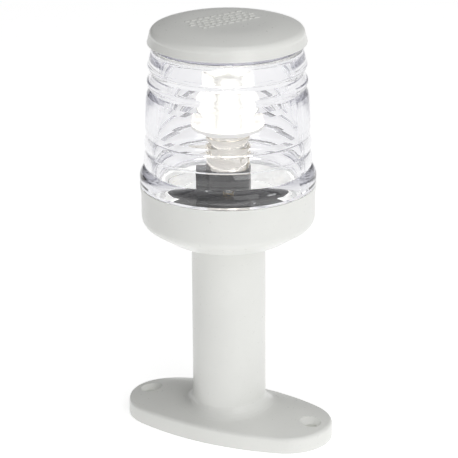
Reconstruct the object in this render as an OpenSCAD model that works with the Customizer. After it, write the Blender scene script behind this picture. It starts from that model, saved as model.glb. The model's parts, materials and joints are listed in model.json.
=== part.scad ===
// All-round navigation light for a boat: a clear ribbed lens and a cap on a bowl,
// carried by a round stem on an oval foot, with a sprung bayonet lamp inside.
// Millimetres, +Z up. The origin is on the deck, at the middle of the foot, and X runs along the foot.

/* [Foot] */
// Length of the oval foot
foot_length = 83; // [78:0.5:90]
// Width of the oval foot
foot_width = 42.4; // [40:0.2:46]
// Radius of the foot's round ends
foot_end_radius = 17.5; // [16:0.5:19]
// Height of the foot's top at its middle
foot_crown = 9.8; // [9:0.1:12]
// Distance between the two deck screws
screw_spacing = 69.2; // [66:0.2:71]
// Radius of the deck screws' clearance holes
screw_hole_radius = 2.3; // [2:0.05:2.6]
// Radius of the countersinks at the foot's top
countersink_radius = 4.45; // [4:0.05:5]

/* [Stem] */
// Outside radius of the stem
stem_radius = 13.8; // [13:0.1:14.5]
// Radius of the cable bore up the stem
stem_bore_radius = 10.4; // [10:0.1:10.6]
// Radius of the fillet between the stem and the foot
stem_fillet = 4.6; // [3:0.1:5]
// Height of the stem's top, where the bowl sits
stem_top = 77; // [70:1:110]

/* [Bowl] */
// Height of the bowl, from the stem to the lens
bowl_height = 20.4; // [20.4:0.1:22]
// Radius of the bowl's wall
bowl_radius = 32.1; // [32:0.05:32.3]
// Radius of the band around the bowl's rim
rim_radius = 32.45; // [32.4:0.01:32.5]
// Radius of the flat under the bowl
bowl_flat_radius = 23.2; // [22:0.1:24]

/* [Lens] */
// Radius of the lens flange
flange_radius = 32.5; // [32.5:0.1:33]
// Inside radius of the lens at its mouth
lens_bore_radius = 26.6; // [26.4:0.1:26.8]
// Inside radius of the lens under its roof
lens_roof_radius = 25.6; // [25.2:0.1:26]
// Height that the lens closure climbs in one whole turn
closure_lead = 9; // [7:0.5:9]
// Number of closure ribs on the lens, and on the bowl
closure_starts = 3; // [3:1:3]

/* [Cap] */
// Radius of the cap at its lower rim
cap_radius = 29.05; // [28.5:0.05:29.5]
// Rounding of the cap's upper edge
cap_rounding = 2.6; // [2.2:0.1:3]
// Height of the raised dashes on the cap
dash_height = 0.25; // [0.1:0.05:0.4]

/* [Lamp] */
// Radius of the lamp's bayonet base, a 15 mm standard size
lamp_base_radius = 7.5; // [7.5:0.1:7.5]
// Distance that the lamp pushes in against its contacts
lamp_travel = 2.4; // [2:0.1:2.4]
// Radius of the lamp's round board
disc_board_radius = 13.5; // [12:0.5:15]
// Rows of light-emitting packages up the lamp's tower
led_rows = 3; // [1:1:3]
// Sides of the lamp's tower
tower_sides = 6; // [6:1:6]

/* [Hidden] */
$fn = 96;

eps = 0.01;
white = "#e6e7e1";
black = "#151619";
nickel = "#b9b2a0";
steel = "#c2c4c6";
brass = "#b98f45";
phenolic = "#6b4324";
silicone = "#c4c5c6";

// Foot: an oval of four arcs, with end arcs on the X axis and long side arcs
foot_a = foot_length / 2;
foot_b = foot_width / 2;
end_centre = foot_a - foot_end_radius;
side_radius = (pow(end_centre, 2) + pow(foot_b, 2) - pow(foot_end_radius, 2))
    / (2 * (foot_b - foot_end_radius));
side_centre = side_radius - foot_b;
end_half_angle = atan2(side_centre, end_centre);
join_x = end_centre + foot_end_radius * cos(end_half_angle);
foot_edge_height = 6.3;
foot_edge_rounding = 1.5;
foot_underside_depth = 4;
foot_wall = 2.6;
foot_rib = 1.6;
foot_rib_x = 21.6;
crown_radius_x = pow(foot_a, 2) / (2 * (foot_crown - foot_edge_height));
crown_radius_y = pow(foot_b, 2) / (2 * (foot_crown - foot_edge_height));
screw_boss_radius = 6.5;

// Stem top: a web, a spigot for the cable and three screw bosses in a chamber above the bore
web_thickness = 4;
chamber_step = 0.4;
boss_length = 12;
boss_radius = 2.8;
boss_circle = 8.4;
spigot_radius = 5;
spigot_bore = 3.75;
pilot_radius = 1.15;
pilot_depth = 11;
housing_screw_angles = [60, 180, 300];
housing_screw_hole = 1.6;
housing_screw_sink = 3;

// Bowl
bowl_floor = 2.3;
floor_top = stem_top + bowl_floor;
rim_top = stem_top + bowl_height;
seam_gap = 0.1;
bowl_wall = 2.9;
bowl_bore = bowl_radius - bowl_wall;
bowl_cone_height = 5.8;
bowl_corner_radius = 4;
rim_band_height = 1.9;
seal_shelf_depth = 1.75;
seal_shelf_radius = 29.7;
seal_wire = 0.75;
seal_circle = 28.75;

// Lens closure ribs, one pair per start. The lens ribs lie under the bowl ribs
rib_height = 1.4;
rib_clearance = 0.28;
rib_arc_lens = 46;
rib_arc_bowl = 52;
rib_first_angle = 10;
rib_step = 2;
lens_rib_radius = 28.75;
bowl_rib_radius = 28.2;
lens_rib_z = rim_top - 6.4;
bowl_rib_z = lens_rib_z + rib_height + rib_clearance;
spigot_outer = 27.9;
spigot_depth = 8;

// Lens outline. Each ridge is [height above the rim, radius at its crest, radius of its rounding].
// The wall keeps its thickness behind the wide ridges, so they don't bend the view inside
wide_ridges = [[9.6, 31.05, 6.5], [15.8, 30.7, 6.5]];
narrow_ridges = [[38.9, 29.35, 1.9], [45, 28.96, 1.5]];
ridge_wall = 2.8;
ridge_drop = 0.64;
hollow_rounding = 5.3;
lens_height = 54.2;
roof_thickness = 3;
neck_radius = 26.9;
neck_foot = 53.2;
flange_height = 2.9;
flange_rounding = 4.5;

// Cap
cap_foot = rim_top + lens_height - 0.7;
cap_height = 7.4;
cap_draft = 0.8;
cap_flat_radius = 14.5;
cap_shoulder_radius = 35.2;
cap_recess = 3.3;
dash_rows = 5;
dash_pitch = 2.7;
dash_slot = 2.9;
dash_width = 0.9;
dash_lengths = [1.4, 2.2, 1.8, 1.2, 2.3, 1.6, 2];
dash_field_radius = 14.6;
dash_angle = 64.5;
dash_shift = [-2.7, 0.8];
dash_root = 0.5;

// Carrier plate and terminals
plate_radius = 23.2;
plate_top_radius = 28.6;
plate_foot = floor_top + 1.2;
plate_thickness = 4;
plate_top = plate_foot + plate_thickness;
plate_screw_circle = 18.3;
plate_screw_angles = [28, 148, 268];
plate_screw_radius = 0.95;
plate_boss_radius = 3;
plate_hole_radius = 1.25;
cable_hole_radius = 4;
strip_angles = [118, 298];
strip_thickness = 0.6;
strip_width = 4.6;
strip_start = 4.8;
strip_end = 21;
terminal_circle = 16.5;

// Lamp holder
holder_radius = 8.45;
holder_height = 19.3;
holder_top = plate_top + holder_height;
chamber_height = 1.8;
holder_web = 1.7;
web_top = plate_top + chamber_height + holder_web;
ledge_top = web_top + 4;
shell_thickness = 0.4;
shell_fit = 0.05;
shell_bore = lamp_base_radius + shell_fit;
shell_radius = shell_bore + shell_thickness;
shell_top = holder_top + 7.9;
lip_radius = 0.45;
tab_angle = 208;
tab_reach = 14.5;
tab_width = 4.6;
lug_reach = 11.8;
lug_width = 6.4;
slot_turn = 26;
pin_angle = -20;
pin_radius = 1;
pin_reach = 8.45;
slot_clearance = 0.2;
pin_z = holder_top + 3.9;

// Contacts and their springs
contact_offset = 3.6;
disc_foot = web_top + 6.6;
disc_thickness = 1.6;
disc_radius = shell_bore - 0.05;
plunger_radius = 1.4;
plunger_collar_radius = 2.3;
plunger_collar_z = web_top + 5.2;
plunger_foot = web_top + 3;
spring_wire = 0.2;
spring_radius = 1.9;
spring_turns = 4;

// Lamp
base_foot = pin_z - 7.7;
base_top = shell_top + 2.8;
base_wall = 0.4;
insulator_thickness = 1.5;
contact_pad_radius = 1.7;
contact_pad_height = 0.8;
collar_radius = 8.2;
collar_height = 4.1;
board_z = base_top + collar_height;
board_thickness = 1.2;
tower_z = board_z + board_thickness;
tower_height = 17;
tower_inner = 7;
tower_board = 1;
board_gap = 0.05;
tower_outer = tower_inner + tower_board;
led_size = 5;
led_depth = 1.6;
phosphor_radius = 1.9;
phosphor_depth = 0.2;
row_pitch = 5.2;
top_led_circle = 4.6;
top_led_count = 3;

// A closed solid through a stack of rings, each the same number of points
module skin(rings) {
    n = len(rings[0]);
    last = len(rings) - 1;
    sides = [for (j = [0:last - 1], i = [0:n - 1])
        [j * n + i, (j + 1) * n + i, (j + 1) * n + (i + 1) % n, j * n + (i + 1) % n]];
    foot_face = [for (i = [0:n - 1]) i];
    top_face = [for (i = [n - 1:-1:0]) last * n + i];
    polyhedron(points = [for (ring = rings) each ring], faces = concat([foot_face], sides, [top_face]));
}

// A point at a radius, an angle and a height
function polar(r, angle, z) = [r * cos(angle), r * sin(angle), z];

// Copies the children at each angle of a list, on a circle
module around(angles, radius = 0) {
    for (angle = angles) rotate([0, 0, angle]) translate([radius, 0, 0]) children();
}

// Points of an arc, without its last point
function arc(cx, cy, r, from, to, steps) =
    [for (i = [0:steps - 1]) let (t = from + (to - from) * i / steps) [cx + r * cos(t), cy + r * sin(t)]];

// The foot's outline: right end, far side, left end, near side
function foot_outline() = concat(
    arc(end_centre, 0, foot_end_radius, -end_half_angle, end_half_angle, 24),
    arc(0, -side_centre, side_radius, end_half_angle, 180 - end_half_angle, 24),
    arc(-end_centre, 0, foot_end_radius, 180 - end_half_angle, 180 + end_half_angle, 24),
    arc(0, side_centre, side_radius, 180 + end_half_angle, 360 - end_half_angle, 24));

// Height of the crowned top at a place
function crown(r, angle) = foot_crown - pow(r * cos(angle), 2) / (2 * crown_radius_x)
    - pow(r * sin(angle), 2) / (2 * crown_radius_y);

// Rings of the foot from the deck up: wall, rounded edge, crowned top, fillet and a flat cap
function foot_rings() = let (
    outline = foot_outline(),
    angles = [for (p = outline) atan2(p.y, p.x)],
    reach = [for (p = outline) norm(p)],
    n = len(outline),
    inset = foot_edge_rounding,
    root = stem_radius - 0.06,
    fillet_edge = root + stem_fillet)
    concat(
        [[for (i = [0:n - 1]) polar(reach[i], angles[i], 0)]],
        [for (a = [0:18:90]) [for (i = [0:n - 1])
            polar(reach[i] - inset * (1 - cos(a)), angles[i],
                crown(reach[i] - inset, angles[i]) - inset * (1 - sin(a)))]],
        [for (s = [0.25, 0.5, 0.75, 1]) [for (i = [0:n - 1])
            let (r = reach[i] - inset + s * (fillet_edge - reach[i] + inset))
            polar(r, angles[i], crown(r, angles[i]))]],
        [for (a = [15:15:90]) [for (i = [0:n - 1])
            let (r = root + stem_fillet * (1 - sin(a)))
            polar(r, angles[i], crown(r, angles[i]) + stem_fillet * (1 - cos(a)))]],
        [[for (i = [0:n - 1]) polar(root - 1, angles[i], foot_crown + stem_fillet)]]);

// The foot's outline moved in by a distance, as true arcs
module foot_oval(inset) {
    for (side = [-1, 1]) translate([side * end_centre, 0]) circle(r = foot_end_radius - inset);
    intersection() {
        translate([0, -side_centre]) circle(r = side_radius - inset, $fn = 360);
        translate([0, side_centre]) circle(r = side_radius - inset, $fn = 360);
        square([2 * join_x, foot_width], center = true);
    }
}

// Moulded hollow under the foot, with bosses and ribs left standing
module foot_underside() {
    translate([0, 0, -eps]) linear_extrude(foot_underside_depth + eps) difference() {
        foot_oval(foot_wall);
        circle(r = stem_radius);
        for (side = [-1, 1]) translate([side * screw_spacing / 2, 0]) circle(r = screw_boss_radius);
        square([foot_length, foot_rib], center = true);
        for (x = [-1, 1] * foot_rib_x)
            translate([x, 0]) square([foot_rib, foot_width], center = true);
    }
}

// Countersunk clearance hole for a deck screw
module deck_screw_hole() {
    seat = crown(screw_spacing / 2, 0);
    sink = countersink_radius - screw_hole_radius;
    translate([0, 0, -1]) cylinder(r = screw_hole_radius, h = foot_crown + 2);
    translate([0, 0, seat - sink]) cylinder(r1 = screw_hole_radius, r2 = countersink_radius, h = sink);
    translate([0, 0, seat]) cylinder(r = countersink_radius, h = 3);
}

module foot_and_stem() {
    color(white) difference() {
        union() {
            skin(foot_rings());
            translate([0, 0, foot_edge_height]) cylinder(r = stem_radius, h = stem_top - foot_edge_height);
            cylinder(r = spigot_radius, h = stem_top + 3);
        }
        translate([0, 0, -1]) cylinder(r = stem_bore_radius, h = stem_top - boss_length + 1);
        difference() {
            translate([0, 0, stem_top - boss_length - 1])
                cylinder(r = stem_bore_radius - chamber_step, h = boss_length - web_thickness + 1);
            around(housing_screw_angles, boss_circle)
                translate([0, 0, stem_top - boss_length]) cylinder(r = boss_radius, h = boss_length);
        }
        translate([0, 0, -1]) cylinder(r = spigot_bore, h = stem_top + 10);
        around(housing_screw_angles, boss_circle)
            translate([0, 0, stem_top - pilot_depth]) cylinder(r = pilot_radius, h = pilot_depth + 1);
        foot_underside();
        for (side = [-1, 1]) translate([side * screw_spacing / 2, 0, 0]) deck_screw_hole();
    }
}

// A closure rib that climbs around the axis, between two radii, with its foot at a height
module closure_rib(inner, outer, z, arc_angle) {
    skin([for (a = [0:rib_step:arc_angle])
        let (foot = z + closure_lead * a / 360, turn = rib_first_angle + a)
        [polar(inner, turn, foot), polar(inner, turn, foot + rib_height),
         polar(outer, turn, foot + rib_height), polar(outer, turn, foot)]]);
}

module closure_ribs(inner, outer, z, arc_angle) {
    around([for (k = [0:closure_starts - 1]) 360 * k / closure_starts])
        closure_rib(inner, outer, z, arc_angle);
}

// Half outline of the bowl's outside
module bowl_outline() {
    corner_z = stem_top + bowl_cone_height;
    slope = atan2(bowl_cone_height, bowl_radius - bowl_flat_radius);
    // The corner's arc touches both the cone and the wall
    arc_z = corner_z + bowl_corner_radius * tan((90 - slope) / 2);
    touch = [bowl_radius - bowl_corner_radius * (1 - sin(slope)), arc_z - bowl_corner_radius * cos(slope)];
    polygon([[0, stem_top], [bowl_flat_radius, stem_top], touch,
        [bowl_radius - bowl_corner_radius, arc_z], [0, arc_z]]);
    translate([bowl_radius - bowl_corner_radius, arc_z]) circle(r = bowl_corner_radius);
    translate([0, arc_z]) square([bowl_radius, rim_top - seam_gap - arc_z]);
    translate([0, rim_top - seam_gap - rim_band_height]) square([rim_radius, rim_band_height]);
}

// Half outline of the bowl's hollow
module bowl_hollow() {
    cone_top = stem_top + bowl_cone_height + 1.6;
    polygon([[0, floor_top], [bowl_flat_radius - 1.3, floor_top], [bowl_bore, cone_top],
        [bowl_bore, rim_top], [0, rim_top]]);
    translate([0, rim_top - seal_shelf_depth]) square([seal_shelf_radius, seal_shelf_depth + 1]);
}

module lamp_housing() {
    color(white) {
        difference() {
            rotate_extrude() difference() {
                bowl_outline();
                bowl_hollow();
                translate([0, stem_top - 1]) square([spigot_radius + 0.2, bowl_floor + 2]);
            }
            around(housing_screw_angles, boss_circle) {
                sink = housing_screw_sink - housing_screw_hole;
                translate([0, 0, stem_top - 1]) cylinder(r = housing_screw_hole, h = bowl_floor + 2);
                translate([0, 0, floor_top - sink])
                    cylinder(r1 = housing_screw_hole, r2 = housing_screw_sink, h = sink + eps);
            }
            around(plate_screw_angles, plate_screw_circle)
                translate([0, 0, floor_top - 1.8]) cylinder(r = plate_screw_radius, h = 3);
        }
        closure_ribs(bowl_rib_radius, bowl_bore + 0.4, bowl_rib_z, rib_arc_bowl);
    }
}

// Countersunk screw, head up, with its top face at z = 0
module countersunk_screw(shank, head, head_height, length) {
    difference() {
        union() {
            translate([0, 0, -head_height]) cylinder(r1 = shank, r2 = head, h = head_height);
            translate([0, 0, -length]) cylinder(r = shank, h = length);
            translate([0, 0, -length - shank]) cylinder(r1 = 0.3, r2 = shank, h = shank);
        }
        cross_recess(head, head_height * 0.6);
    }
}

// Pan-head screw, head up, with the head's underside at z = 0
module pan_screw(shank, head, head_height, length) {
    difference() {
        union() {
            rotate_extrude() intersection() {
                translate([0, head_height - 2.2 * head]) circle(r = 2.2 * head);
                square([head, head_height]);
            }
            translate([0, 0, -length]) cylinder(r = shank, h = length + eps);
        }
        translate([0, 0, head_height]) cross_recess(head, head_height * 0.6);
    }
}

// Cross recess cut down from z = 0
module cross_recess(head, depth) {
    for (angle = [0, 90]) rotate([0, 0, angle])
        translate([-head * 0.55, -head * 0.11, -depth]) cube([head * 1.1, head * 0.22, depth + 1]);
}

module housing_screws() {
    color(steel) around(housing_screw_angles, boss_circle)
        translate([0, 0, floor_top]) countersunk_screw(pilot_radius, 2.9, 1.7, 9);
}

module carrier_plate() {
    color(black) difference() {
        union() {
            translate([0, 0, plate_foot]) cylinder(r1 = plate_radius, r2 = plate_top_radius, h = plate_thickness);
            around(plate_screw_angles, plate_screw_circle)
                translate([0, 0, floor_top]) cylinder(r = plate_boss_radius, h = 2);
        }
        translate([0, 0, plate_foot - 1]) cylinder(r = cable_hole_radius, h = plate_thickness + 2);
        around(plate_screw_angles, plate_screw_circle)
            translate([0, 0, floor_top - 1])
                cylinder(r = plate_hole_radius, h = plate_top - floor_top + 2);
        around(strip_angles, terminal_circle)
            translate([0, 0, plate_foot - 1]) cylinder(r = plate_screw_radius, h = plate_thickness + 2);
    }
}

module carrier_screws() {
    color(steel) around(plate_screw_angles, plate_screw_circle)
        translate([0, 0, plate_top]) pan_screw(plate_screw_radius, 2.1, 1.4, plate_top - floor_top + 1.6);
}

module terminal_strips() {
    color(brass) around(strip_angles) difference() {
        translate([strip_start, -strip_width / 2, plate_top])
            cube([strip_end - strip_start, strip_width, strip_thickness]);
        translate([terminal_circle, 0, plate_top - 1]) cylinder(r = 1.15, h = 3);
    }
}

module terminal_screws() {
    color(steel) around(strip_angles, terminal_circle)
        translate([0, 0, plate_top + strip_thickness])
            pan_screw(plate_screw_radius, 2.2, 1.5, strip_thickness + 1.8);
}

module holder_body() {
    color(black) difference() {
        union() {
            translate([0, 0, plate_top]) cylinder(r = holder_radius, h = holder_height);
            rotate([0, 0, tab_angle]) translate([0, -lug_width / 2, plate_top])
                cube([lug_reach, lug_width, holder_height - 0.6]);
        }
        translate([0, 0, plate_top - 1]) cylinder(r = 6.4, h = chamber_height + 1);
        translate([0, 0, web_top]) cylinder(r = 7, h = holder_height);
        translate([0, 0, ledge_top]) cylinder(r = shell_radius + 0.02, h = holder_height);
        around(strip_angles) translate([3, -strip_width / 2 - 0.3, plate_top - 1])
            cube([8, strip_width + 0.6, chamber_height + 1]);
    }
}

// Slot that lets a lamp pin in, turns it and holds it, at angle 0 where the pin rests
module bayonet_slot() {
    half = pin_radius + slot_clearance;
    reach = shell_radius + 2;
    passage_z = pin_z - lamp_travel;
    // Entry, beside the resting place
    rotate([0, 0, slot_turn]) translate([reach / 2, -half, passage_z]) cube([reach, 2 * half, 20]);
    // Passage along the bottom, as a sector of a ring
    rotate_extrude(angle = slot_turn) translate([shell_bore - 1, passage_z - half]) square([3, 2 * half]);
    // Round ends of the passage and of the seat, and the leg between them
    for (place = [[0, passage_z], [0, pin_z], [slot_turn, passage_z]])
        rotate([0, 0, place[0]]) translate([reach / 2, 0, place[1]]) rotate([0, 90, 0])
            cylinder(r = half, h = reach);
    translate([reach / 2, -half, passage_z]) cube([reach, 2 * half, lamp_travel]);
}

module holder_shell() {
    color(nickel) difference() {
        union() {
            translate([0, 0, ledge_top]) cylinder(r = shell_radius, h = shell_top - ledge_top - lip_radius);
            rotate_extrude() translate([shell_bore + lip_radius, shell_top - lip_radius])
                circle(r = lip_radius, $fn = 32);
            rotate([0, 0, tab_angle]) translate([shell_bore + 0.1, -tab_width / 2, shell_top - 1.5])
                cube([tab_reach - shell_bore, tab_width, 0.5]);
        }
        translate([0, 0, ledge_top - 1]) cylinder(r = shell_bore, h = 40);
        for (half_turn = [0, 180]) rotate([0, 0, pin_angle + half_turn]) bayonet_slot();
        rotate([0, 0, tab_angle]) translate([tab_reach - 2.4, 0, shell_top - 3]) cylinder(r = 0.8, h = 3);
    }
}

module contact_disc() {
    color(phenolic) difference() {
        translate([0, 0, disc_foot]) cylinder(r = disc_radius, h = disc_thickness);
        for (side = [-1, 1]) translate([side * contact_offset, 0, disc_foot - 1])
            cylinder(r = plunger_radius + 0.05, h = 4);
    }
}

// Sprung contact, on one side of the axis
module contact_plunger(side) {
    tip_z = base_foot - contact_pad_height;
    color(brass) translate([side * contact_offset, 0, 0]) {
        translate([0, 0, plunger_foot]) cylinder(r = plunger_radius, h = tip_z - plunger_foot - 0.6);
        translate([0, 0, tip_z - 0.6]) cylinder(r1 = plunger_radius, r2 = 0.8, h = 0.6 - 0.02);
        translate([0, 0, plunger_collar_z]) cylinder(r = plunger_collar_radius, h = 1);
    }
}

// Coil spring under one contact, as a round wire with closed ends
module contact_spring(side) {
    steps = 18;
    rise = plunger_collar_z - web_top - 2 * spring_wire - 0.1;
    color(steel) translate([side * contact_offset, 0, web_top + spring_wire + 0.05])
        skin([for (i = [0:spring_turns * steps])
            let (a = 360 * i / steps, z = rise * i / (spring_turns * steps))
            [for (t = [0:60:300]) polar(spring_radius - spring_wire * cos(t), a, z + spring_wire * sin(t))]]);
}

module contact_plunger_left() { contact_plunger(-1); }
module contact_plunger_right() { contact_plunger(1); }
module contact_spring_left() { contact_spring(-1); }
module contact_spring_right() { contact_spring(1); }

module lens_seal() {
    color(silicone) rotate_extrude() translate([seal_circle, rim_top - seal_wire - seam_gap])
        circle(r = seal_wire, $fn = 32);
}

// Half outline of the lens's outside
module lens_outline() {
    // Straight flanks between the ridges, as [radius, height above the rim]
    flanks = [[flange_radius - 0.3, 0], [flange_radius, 0.3], [flange_radius, flange_height],
        [30.25, 6.5], [30.25, 12.7], [29.75, 18.9], [30.1, 20.3], [30.3, 22.2], [30.12, 27], [29.75, 32.7],
        [29.35, 34.6], [28.35, 36.4], [28.9, 37.6], [29.2, 39.5], [27.85, 42.3], [28.6, 44.3],
        [28.75, 45.7], [27.05, neck_foot], [neck_radius, neck_foot], [neck_radius, lens_height]];
    translate([0, rim_top]) {
        polygon(concat([[0, 0]], flanks, [[0, lens_height]]));
        intersection() {
            translate([flange_radius - flange_rounding, flange_height]) circle(r = flange_rounding);
            square([flange_radius, 2 * flange_rounding]);
        }
        for (ridge = concat(wide_ridges, narrow_ridges))
            translate([ridge[1] - ridge[2], ridge[0]]) circle(r = ridge[2]);
    }
    translate([0, rim_top - spigot_depth]) square([spigot_outer, spigot_depth + 1]);
}

// Half outline of the lens's inside, with hollows behind the wide ridges and a rounded corner
module lens_hollow() {
    corner = 2;
    roof = rim_top + lens_height - roof_thickness;
    polygon([[0, 0], [lens_bore_radius, 0], [lens_bore_radius, rim_top - spigot_depth],
        [lens_roof_radius, roof - corner], [lens_roof_radius - corner, roof - corner],
        [lens_roof_radius - corner, roof], [0, roof]]);
    translate([lens_roof_radius - corner, roof - corner]) circle(r = corner);
    for (ridge = wide_ridges)
        translate([ridge[1] - ridge_wall - hollow_rounding, rim_top + ridge[0] - ridge_drop])
            circle(r = hollow_rounding);
}

module lens() {
    color("#e8eef2", 0.35) {
        rotate_extrude() difference() {
            lens_outline();
            lens_hollow();
        }
        closure_ribs(spigot_outer - 0.4, lens_rib_radius, lens_rib_z, rib_arc_lens);
    }
}

// Half outline of the cap's outside: draft, rounded edge, shoulder arc and flat top
module cap_outline() {
    top = cap_foot + cap_height;
    edge_r = cap_radius - cap_draft - cap_rounding;
    out = edge_r - cap_flat_radius;
    // The edge's arc touches the shoulder's arc from inside
    between = cap_shoulder_radius - cap_rounding;
    edge_z = top - cap_shoulder_radius + sqrt(pow(between, 2) - pow(out, 2));
    touch = cap_flat_radius + out * cap_shoulder_radius / between;
    polygon([[0, cap_foot], [cap_radius, cap_foot], [cap_radius - cap_draft, edge_z], [0, edge_z]]);
    translate([edge_r, edge_z]) circle(r = cap_rounding);
    translate([0, cap_foot]) square([cap_flat_radius, cap_height]);
    intersection() {
        translate([cap_flat_radius, top - cap_shoulder_radius]) circle(r = cap_shoulder_radius, $fn = 720);
        translate([0, edge_z]) square([touch, cap_height]);
    }
}

// Rows of raised dashes of mixed lengths, for the cap's flat top
module cap_dashes() {
    for (row = [0:dash_rows - 1]) {
        y = (row - (dash_rows - 1) / 2) * dash_pitch;
        count = floor(2 * sqrt(pow(dash_field_radius, 2) - pow(y, 2)) / dash_slot);
        for (k = [0:count - 1]) translate([(k - (count - 1) / 2) * dash_slot, y])
            square([dash_lengths[(3 * row + k) % len(dash_lengths)], dash_width], center = true);
    }
}

module top_cap() {
    color(white) {
        rotate_extrude() difference() {
            cap_outline();
            translate([0, cap_foot - 1]) square([neck_radius + 0.05, 1.7]);
            translate([0, cap_foot]) square([neck_radius - 2, cap_recess]);
        }
        translate([dash_shift.x, dash_shift.y, cap_foot + cap_height - dash_root])
            rotate([0, 0, dash_angle]) linear_extrude(dash_height + dash_root) cap_dashes();
    }
}

module lamp_base() {
    color(nickel) difference() {
        translate([0, 0, base_foot]) cylinder(r = lamp_base_radius, h = base_top - base_foot);
        translate([0, 0, base_foot - 1]) cylinder(r = lamp_base_radius - base_wall, h = 30);
        rotate([0, 0, pin_angle]) translate([0, 0, pin_z]) rotate([0, 90, 0])
            cylinder(r = pin_radius, h = 20, center = true);
    }
}

module lamp_pins() {
    color(nickel) for (half_turn = [0, 180]) rotate([0, 0, pin_angle + half_turn])
        translate([lamp_base_radius - base_wall - 0.5, 0, pin_z]) rotate([0, 90, 0])
            cylinder(r = pin_radius, h = pin_reach - lamp_base_radius + base_wall + 0.5);
}

module lamp_insulator() {
    color(black) difference() {
        translate([0, 0, base_foot]) cylinder(r = lamp_base_radius - base_wall, h = insulator_thickness);
        for (side = [-1, 1]) translate([side * contact_offset, 0, base_foot - 1])
            cylinder(r = contact_pad_radius, h = 5);
    }
}

module lamp_contacts() {
    color(steel) for (side = [-1, 1])
        translate([side * contact_offset, 0, base_foot - contact_pad_height])
            cylinder(r = contact_pad_radius, h = contact_pad_height + insulator_thickness);
}

module lamp_collar() {
    groove = 0.5;
    color(nickel) rotate_extrude() difference() {
        translate([0, base_top]) square([collar_radius, collar_height]);
        translate([0, base_top - 1]) square([5, collar_height + 2]);
        for (z = [1, 2.4]) translate([collar_radius - groove, base_top + z]) square([1, 0.5]);
    }
}

module lamp_disc_board() {
    color("#f1efe6") difference() {
        translate([0, 0, board_z]) cylinder(r = disc_board_radius, h = board_thickness);
        for (side = [-1, 1]) translate([side * 3, 0, board_z - 1]) cylinder(r = 0.8, h = 4);
    }
}

// Flat boards around the tower, and one on its top
module lamp_tower_boards() {
    side_angles = [for (k = [0:tower_sides - 1]) 360 * k / tower_sides];
    board_width = 2 * tower_inner * tan(180 / tower_sides) - 2 * board_gap;
    color("#f1efe6") {
        around(side_angles) translate([tower_inner, -board_width / 2, tower_z])
            cube([tower_board, board_width, tower_height - tower_board - board_gap]);
        translate([0, 0, tower_z + tower_height - tower_board])
            rotate([0, 0, 180 / tower_sides]) cylinder(r = tower_outer / cos(180 / tower_sides),
                h = tower_board, $fn = tower_sides);
    }
}

// Puts its child, which faces along +X from the origin, at every package of the lamp
module at_each_led() {
    for (k = [0:tower_sides - 1], row = [0:led_rows - 1])
        rotate([0, 0, 360 * k / tower_sides])
            translate([tower_outer, 0, tower_z + 3.2 + row * row_pitch]) children();
    for (k = [0:top_led_count - 1])
        rotate([0, 0, 360 * k / top_led_count])
            translate([top_led_circle, 0, tower_z + tower_height]) rotate([0, -90, 0]) children();
}

module lamp_leds() {
    color("#f7f4e8") at_each_led() difference() {
        translate([0, -led_size / 2, -led_size / 2]) cube([led_depth, led_size, led_size]);
        translate([led_depth - phosphor_depth, 0, 0]) rotate([0, 90, 0])
            cylinder(r = phosphor_radius, h = 1);
    }
}

module lamp_phosphors() {
    color("#f0d34a") at_each_led()
        translate([led_depth - phosphor_depth, 0, 0]) rotate([0, 90, 0])
            cylinder(r = phosphor_radius, h = phosphor_depth * 0.8);
}

foot_and_stem();
lamp_housing();
housing_screws();
carrier_plate();
carrier_screws();
terminal_strips();
terminal_screws();
holder_body();
holder_shell();
contact_disc();
contact_plunger_left();
contact_plunger_right();
contact_spring_left();
contact_spring_right();
lens_seal();
lens();
top_cap();
lamp_base();
lamp_pins();
lamp_insulator();
lamp_contacts();
lamp_collar();
lamp_disc_board();
lamp_tower_boards();
lamp_leds();
lamp_phosphors();
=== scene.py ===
"""Looks for an all-round boat light: studio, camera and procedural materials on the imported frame."""
import json
import math

import bpy
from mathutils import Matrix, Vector

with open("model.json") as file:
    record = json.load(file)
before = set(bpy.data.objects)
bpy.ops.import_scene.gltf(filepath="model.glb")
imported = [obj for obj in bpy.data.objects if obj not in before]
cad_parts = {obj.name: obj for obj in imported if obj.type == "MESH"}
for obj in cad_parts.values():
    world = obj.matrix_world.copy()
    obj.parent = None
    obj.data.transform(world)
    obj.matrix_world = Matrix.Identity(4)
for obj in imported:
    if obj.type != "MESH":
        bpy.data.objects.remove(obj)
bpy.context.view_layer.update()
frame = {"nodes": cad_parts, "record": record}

NODES = frame["nodes"]

# Lengths are in metres and powers in watts. A turn is an angle around the object and a rise is an angle
# above the floor, both seen from what the camera looks at.

# Camera, with its lens and sensor in millimetres
CAMERA_TURN = math.radians(27.9)
CAMERA_RISE = math.radians(20.33)
CAMERA_ROLL = math.radians(-0.36)
CAMERA_DISTANCE = 0.845
CAMERA_TARGET = Vector((0, 0, 0.0786))
CAMERA_LENS = 178.9
CAMERA_SENSOR = 36
CAMERA_SHIFT_X = 0.0012
CAMERA_NEAREST = 0.01

# Soft lights that face what the camera looks at. Their turns count from the camera's, in degrees
SOFT_LIGHTS = {
    "key": {"turn": 24, "rise": 28, "distance": 1.3, "size": (0.7, 0.9), "power": 3.0},
    "overhead": {"turn": 0, "rise": 85, "distance": 1.2, "size": (0.8, 0.8), "power": 2.0},
}
# Light under the lamp's round board
INNER_RADIUS = 0.013
INNER_HEIGHT = 0.1183
INNER_POWER = 0.03
# Room: its dark and its bright side as light, the even brightness that it is seen with, and where its
# bright side is
ROOM_DARK = 0.08
ROOM_BRIGHT = 0.8
ROOM_SEEN = 1.0
ROOM_TURN = CAMERA_TURN + math.radians(60)
# Floor, and how strongly it glows
FLOOR_HALF_WIDTH = 3.0
FLOOR_COLOUR = (0.93, 0.93, 0.93, 1)
FLOOR_GLOW = 0.5
# How often light may turn in and behind the lens, and between matt surfaces
GLASS_BOUNCES = 24
MATT_BOUNCES = 6

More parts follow.
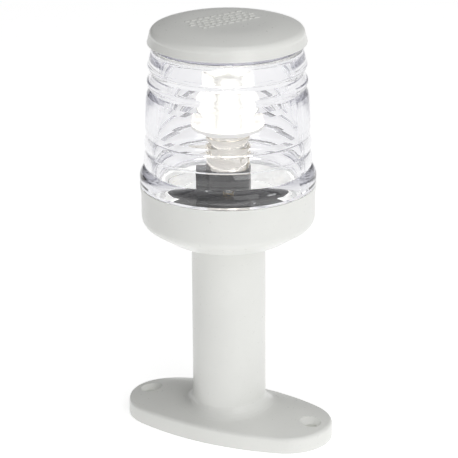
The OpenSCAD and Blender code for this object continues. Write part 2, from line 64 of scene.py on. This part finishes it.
# Most of a noise's values lie between these two
NOISE_LOW = 0.3
NOISE_HIGH = 0.7
# How fast the clear plastic darkens with its thickness, per metre
LENS_TINT = 60

# What the lit lamp gives: its own colour, and the colour and strengths of painted light, an emission
# that stands in for the lamp's light on the bowl, the cap's underside and the seal, which are no lamps
LAMP_COLOUR = (1.0, 0.97, 0.92, 1)
PAINTED_LIGHT_COLOUR = (1.0, 1.0, 0.98, 1)
BOWL_PAINTED_GLOW = 0.7
CAP_PAINTED_GLOW = 0.5
SEAL_PAINTED_GLOW = 0.4
# Where the bowl gets painted light. Its inside lies within a radius, and above a sloping line that is
# given by its height at the axis and its slope. Its rim lies within a wider radius. No painted light
# falls below its foot
BOWL_INSIDE = 0.0293
CONE_HEIGHT = 0.0625
CONE_SLOPE = 0.68
RIM_INSIDE = 0.0315
BOWL_FOOT = 0.0785
# A surface faces up, or down, past these shares of straight up
FACES_UP = 0.3
FACES_DOWN = -0.5


# Studio

def around(turn, rise, distance):
    """A place seen from the camera's target, at a turn, a rise and a distance."""
    flat = distance * math.cos(rise)
    step = Vector((flat * math.sin(turn), -flat * math.cos(turn), distance * math.sin(rise)))
    return CAMERA_TARGET + step


def face_target(thing):
    """Turn a camera or a light to the camera's target."""
    thing.rotation_euler = (CAMERA_TARGET - thing.location).to_track_quat("-Z", "Y").to_euler()


def put_in_scene(name, data):
    thing = bpy.data.objects.new(name, data)
    bpy.context.scene.collection.objects.link(thing)
    return thing


def add_camera():
    data = bpy.data.cameras.new("camera")
    data.lens = CAMERA_LENS
    data.sensor_width = CAMERA_SENSOR
    data.shift_x = CAMERA_SHIFT_X
    data.clip_start = CAMERA_NEAREST
    camera = put_in_scene("camera", data)
    camera.location = around(CAMERA_TURN, CAMERA_RISE, CAMERA_DISTANCE)
    face_target(camera)
    camera.rotation_euler.rotate_axis("Z", CAMERA_ROLL)
    bpy.context.scene.camera = camera


def add_soft_light(name, turn, rise, distance, size, power):
    data = bpy.data.lights.new(name, "AREA")
    data.shape = "RECTANGLE"
    data.size, data.size_y = size
    data.energy = power
    lamp = put_in_scene(name, data)
    lamp.location = around(CAMERA_TURN + math.radians(turn), math.radians(rise), distance)
    face_target(lamp)


def add_inner_light():
    """A light under the lamp's round board that shines down, so the inside of the bowl isn't dark."""
    data = bpy.data.lights.new("inner", "AREA")
    data.shape = "DISK"
    data.size = 2 * INNER_RADIUS
    data.energy = INNER_POWER
    lamp = put_in_scene("inner", data)
    lamp.location = (0, 0, INNER_HEIGHT)
    lamp.visible_glossy = False


def add_world():
    """A room whose light falls off evenly from its bright side to its dark side. Where it is seen
    straight or through the clear lens, it is an even white backdrop."""
    world = bpy.data.worlds.new("studio")
    bpy.context.scene.world = world
    world.use_nodes = True
    tree = world.node_tree
    coordinates = tree.nodes.new("ShaderNodeTexCoord")
    towards = tree.nodes.new("ShaderNodeVectorMath")
    towards.operation = "DOT_PRODUCT"
    towards.inputs[1].default_value = (math.sin(ROOM_TURN), -math.cos(ROOM_TURN), 0)
    tree.links.new(coordinates.outputs["Generated"], towards.inputs[0])
    light = tree.nodes.new("ShaderNodeMapRange")
    light.inputs["From Min"].default_value = -1
    light.inputs["To Min"].default_value = ROOM_DARK
    light.inputs["To Max"].default_value = ROOM_BRIGHT
    tree.links.new(towards.outputs["Value"], light.inputs["Value"])
    rays = tree.nodes.new("ShaderNodeLightPath")
    seen = calculate(tree, "MAXIMUM", rays.outputs["Is Camera Ray"], rays.outputs["Is Transmission Ray"])
    room = tree.nodes.new("ShaderNodeMix")
    tree.links.new(seen, room.inputs["Factor"])
    tree.links.new(light.outputs["Result"], room.inputs["A"])
    room.inputs["B"].default_value = ROOM_SEEN
    background = tree.nodes["Background"]
    background.inputs["Color"].default_value = (1, 1, 1, 1)
    tree.links.new(room.outputs["Result"], background.inputs["Strength"])


def let_light_through_glass():
    """The thick lens turns light inside itself many times."""
    cycles = bpy.context.scene.cycles
    cycles.max_bounces = GLASS_BOUNCES
    cycles.glossy_bounces = GLASS_BOUNCES
    cycles.transmission_bounces = GLASS_BOUNCES
    cycles.diffuse_bounces = MATT_BOUNCES


def add_floor():
    half = FLOOR_HALF_WIDTH
    mesh = bpy.data.meshes.new("floor")
    mesh.from_pydata([(-half, -half, 0), (half, -half, 0), (half, half, 0), (-half, half, 0)], [],
                     [(0, 1, 2, 3)])
    floor = put_in_scene("floor", mesh)
    material, shader, _ = new_material("floor_paper")
    set_inputs(shader, {"Base Color": FLOOR_COLOUR, "Roughness": 0.9, "Specular IOR Level": 0.1,
                        "Emission Color": (1, 1, 1, 1), "Emission Strength": FLOOR_GLOW})
    floor.data.materials.append(material)


# Shader nodes

def new_material(name):
    material = bpy.data.materials.new(name)
    material.use_nodes = True
    tree = material.node_tree
    return material, tree.nodes["Principled BSDF"], tree


def set_inputs(shader, values):
    for socket, value in values.items():
        shader.inputs[socket].default_value = value


def calculate(tree, operation, *values):
    """A math node over values that are each a socket or a number."""
    node = tree.nodes.new("ShaderNodeMath")
    node.operation = operation
    for socket, value in zip(node.inputs, values):
        if isinstance(value, (int, float)):
            socket.default_value = value
        else:
            tree.links.new(value, socket)
    return node.outputs["Value"]


def noise(tree, scale, detail=3.0):
    """Noise over the object's own coordinates, with its scale in features per metre."""
    coordinates = tree.nodes.new("ShaderNodeTexCoord")
    texture = tree.nodes.new("ShaderNodeTexNoise")
    texture.inputs["Scale"].default_value = scale
    texture.inputs["Detail"].default_value = detail
    tree.links.new(coordinates.outputs["Object"], texture.inputs["Vector"])
    return texture.outputs["Fac"]


def spread(tree, value, low, high):
    """Numbers from low to high, by a noise."""
    node = tree.nodes.new("ShaderNodeMapRange")
    node.inputs["From Min"].default_value = NOISE_LOW
    node.inputs["From Max"].default_value = NOISE_HIGH
    node.inputs["To Min"].default_value = low
    node.inputs["To Max"].default_value = high
    tree.links.new(value, node.inputs["Value"])
    return node.outputs["Result"]


def colours(tree, value, low, high):
    """Colours from low to high, by a noise."""
    node = tree.nodes.new("ShaderNodeValToRGB")
    for stop, place, colour in zip(node.color_ramp.elements, (NOISE_LOW, NOISE_HIGH), (low, high)):
        stop.position = place
        stop.color = (*colour, 1)
    tree.links.new(value, node.inputs["Fac"])
    return node.outputs["Color"]


def bump(tree, shader, height, strength, distance):
    node = tree.nodes.new("ShaderNodeBump")
    node.inputs["Strength"].default_value = strength
    node.inputs["Distance"].default_value = distance
    tree.links.new(height, node.inputs["Height"])
    tree.links.new(node.outputs["Normal"], shader.inputs["Normal"])


# Materials

def surface(name, low, high, rough, grain=900, patch=60, **extra):
    """A material whose colour drifts in patches, from low to high, and whose gloss and relief have a
    fine grain. Grain and patch are in features per metre."""
    material, shader, tree = new_material(name)
    tree.links.new(colours(tree, noise(tree, patch), low, high), shader.inputs["Base Color"])
    fine = noise(tree, grain, detail=4.0)
    tree.links.new(spread(tree, fine, *rough), shader.inputs["Roughness"])
    bump(tree, shader, fine, strength=0.35, distance=0.00002)
    set_inputs(shader, extra)
    return material


def clear_plastic():
    material, shader, tree = new_material("clear_polycarbonate")
    set_inputs(shader, {"Base Color": (0.985, 0.985, 0.99, 1), "Transmission Weight": 1.0, "IOR": 1.55})
    haze = noise(tree, 240, detail=2.0)
    tree.links.new(spread(tree, haze, 0.0, 0.03), shader.inputs["Roughness"])
    waves = noise(tree, 45, detail=1.0)
    bump(tree, shader, waves, strength=0.25, distance=0.00006)
    # Thick glass, as at the lens's sides, is darker than thin
    tint = tree.nodes.new("ShaderNodeVolumeAbsorption")
    tint.inputs["Color"].default_value = (0.8, 0.8, 0.83, 1)
    tint.inputs["Density"].default_value = LENS_TINT
    tree.links.new(tint.outputs["Volume"], tree.nodes["Material Output"].inputs["Volume"])
    return material


def white_moulding(name):
    return surface(name, low=(0.77, 0.775, 0.747), high=(0.80, 0.805, 0.777), rough=(0.27, 0.36),
                   **{"Coat Weight": 0.25, "Coat Roughness": 0.12})


def black_plate():
    return surface("black_plate", low=(0.006, 0.006, 0.007), high=(0.012, 0.012, 0.013),
                   rough=(0.25, 0.35), **{"Specular IOR Level": 0.15})


def lit(name, low, high, strength):
    """A material of the lit lamp, which glows in the lamp's colour."""
    return surface(name, low, high, rough=(0.35, 0.5), grain=1500, patch=400,
                   **{"Emission Color": LAMP_COLOUR, "Emission Strength": strength})


def place_and_facing(tree):
    """Distance from the axis, height, and how far a surface faces up."""
    coordinates = tree.nodes.new("ShaderNodeTexCoord")
    place = tree.nodes.new("ShaderNodeSeparateXYZ")
    tree.links.new(coordinates.outputs["Object"], place.inputs["Vector"])
    x, y, height = (place.outputs[axis] for axis in "XYZ")
    squares = [calculate(tree, "MULTIPLY", along, along) for along in (x, y)]
    reach = calculate(tree, "SQRT", calculate(tree, "ADD", *squares))
    facing = tree.nodes.new("ShaderNodeSeparateXYZ")
    tree.links.new(coordinates.outputs["Normal"], facing.inputs["Vector"])
    return reach, height, facing.outputs["Z"]


def paint_light_where(material, painted_light_mask, strength):
    """Painted light: an emission that stands in for the lamp's light on a part, where the painted light
    mask is 1.
    """
    tree = material.node_tree
    shader = tree.nodes["Principled BSDF"]
    tree.links.new(calculate(tree, "MULTIPLY", painted_light_mask, strength), shader.inputs["Emission Strength"])
    set_inputs(shader, {"Emission Color": PAINTED_LIGHT_COLOUR})


def bowl_with_painted_light():
    """White moulding with painted light: an emission stands in for the lamp's light on the bowl's
    inside, on its floor and on its rim.
    """
    material = white_moulding("bowl_moulding_painted_light")
    tree = material.node_tree
    reach, height, up = place_and_facing(tree)
    # The outside of the bowl's cone lies below this sloping line, and its inside above it
    line = calculate(tree, "ADD", calculate(tree, "MULTIPLY", reach, CONE_SLOPE), CONE_HEIGHT)
    above_cone = calculate(tree, "GREATER_THAN", height, line)
    inside = calculate(tree, "MULTIPLY", above_cone, calculate(tree, "LESS_THAN", reach, BOWL_INSIDE))
    faces_up = calculate(tree, "GREATER_THAN", up, FACES_UP)
    upper = calculate(tree, "MULTIPLY", faces_up, calculate(tree, "LESS_THAN", reach, RIM_INSIDE))
    above_foot = calculate(tree, "GREATER_THAN", height, BOWL_FOOT)
    painted_light_mask = calculate(tree, "MULTIPLY", calculate(tree, "MAXIMUM", inside, upper), above_foot)
    paint_light_where(material, painted_light_mask, BOWL_PAINTED_GLOW)
    return material


def cap_with_painted_light():
    """White moulding with painted light: an emission on faces that face down stands in for the lamp's
    light from below.
    """
    material = white_moulding("cap_moulding_painted_light")
    tree = material.node_tree
    _, _, up = place_and_facing(tree)
    paint_light_where(material, calculate(tree, "LESS_THAN", up, FACES_DOWN), CAP_PAINTED_GLOW)
    return material


def make_materials():
    """A material for each of the record's slots."""
    metal = {"Metallic": 1.0}
    polished = {"Specular IOR Level": 0.8}
    # The seal glows as painted light, an emission that stands in for the lamp's light; it is no lamp
    seal_painted_glow = {"Emission Color": (1.0, 1.0, 1.0, 1), "Emission Strength": SEAL_PAINTED_GLOW}
    return {
        "white_abs": white_moulding("white_moulding"),
        "clear_plastic": clear_plastic(),
        "black_plastic": surface("black_moulding", low=(0.008, 0.008, 0.01), high=(0.016, 0.016, 0.018),
                                 rough=(0.04, 0.09), **polished),
        "seal_rubber": surface("seal_ring_rubber_painted_glow", low=(0.62, 0.62, 0.63), high=(0.68, 0.68, 0.69),
                               rough=(0.5, 0.7), **seal_painted_glow),
        "stainless": surface("stainless_steel", low=(0.6, 0.6, 0.61), high=(0.7, 0.7, 0.7),
                             rough=(0.2, 0.35), **metal),
        "nickel": surface("nickel_plate", low=(0.72, 0.69, 0.63), high=(0.80, 0.77, 0.72),
                          rough=(0.06, 0.14), **metal),
        "brass": surface("bare_brass", low=(0.68, 0.50, 0.22), high=(0.76, 0.58, 0.28),
                         rough=(0.2, 0.34), **metal),
        "solder": surface("solder_pads", low=(0.62, 0.63, 0.64), high=(0.7, 0.71, 0.72),
                          rough=(0.3, 0.45), **metal),
        "phenolic": surface("phenolic_laminate", low=(0.16, 0.07, 0.03), high=(0.25, 0.12, 0.05),
                            rough=(0.45, 0.6)),
        # The board face glows as painted light, an emission that stands in for the LEDs' light on it;
        # the phosphor gel is the lamp's own light
        "white_board": lit("board_face_painted_glow", low=(0.85, 0.85, 0.82), high=(0.9, 0.9, 0.88), strength=0.2),
        "led_body": lit("package_body", low=(0.88, 0.87, 0.82), high=(0.93, 0.92, 0.88), strength=1.2),
        "phosphor": lit("phosphor_gel", low=(0.9, 0.7, 0.2), high=(0.95, 0.8, 0.3), strength=20.0),
    }


def dress(materials):
    """Every CAD node takes the material of its slot, apart from the two parts with painted lamp light
    (bowl and cap) and the plate, which is duller than the other black parts."""
    for part in frame["record"]["subparts"]:
        mesh = NODES[part["node"]].data
        mesh.materials.clear()
        mesh.materials.append(materials[part["material_slot"]])
    # The bowl and the cap take materials with painted light, an emission that stands in for the lamp's
    # light
    NODES["lamp_housing"].data.materials[0] = bowl_with_painted_light()
    NODES["top_cap"].data.materials[0] = cap_with_painted_light()
    NODES["carrier_plate"].data.materials[0] = black_plate()


add_camera()
add_world()
add_floor()
for name, light in SOFT_LIGHTS.items():
    add_soft_light(name, **light)
add_inner_light()
dress(make_materials())
bpy.context.scene.view_settings.view_transform = "Standard"
let_light_through_glass()
